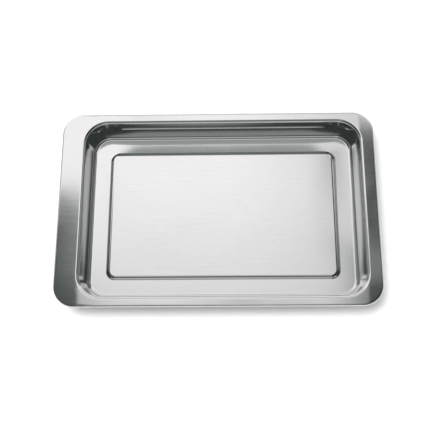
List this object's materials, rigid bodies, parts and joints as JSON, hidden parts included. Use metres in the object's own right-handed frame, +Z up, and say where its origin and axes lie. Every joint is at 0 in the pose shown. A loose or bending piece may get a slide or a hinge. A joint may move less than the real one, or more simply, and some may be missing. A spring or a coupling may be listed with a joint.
{
  "type": "rectangular steel tray",
  "caption": "Shallow rectangular tray pressed from one steel sheet, with sloping walls, a raised floor panel and a flat flange that is wider at one end.",
  "frame": {"origin": "under the middle of the outer rim, on the surface that the tray stands on", "axes": "+Z up, out of the tray's mouth; +X along the tray's length, towards the narrower end flange; +Y towards the back"},
  "size_m": [0.4, 0.255, 0.034],
  "materials": {
    "steel": "bright stainless steel sheet with a fine grain along the tray's length, semi-mirror"
  },
  "bodies": {
    "root": {"tray_pan": "steel"}
  },
  "joints": []
}
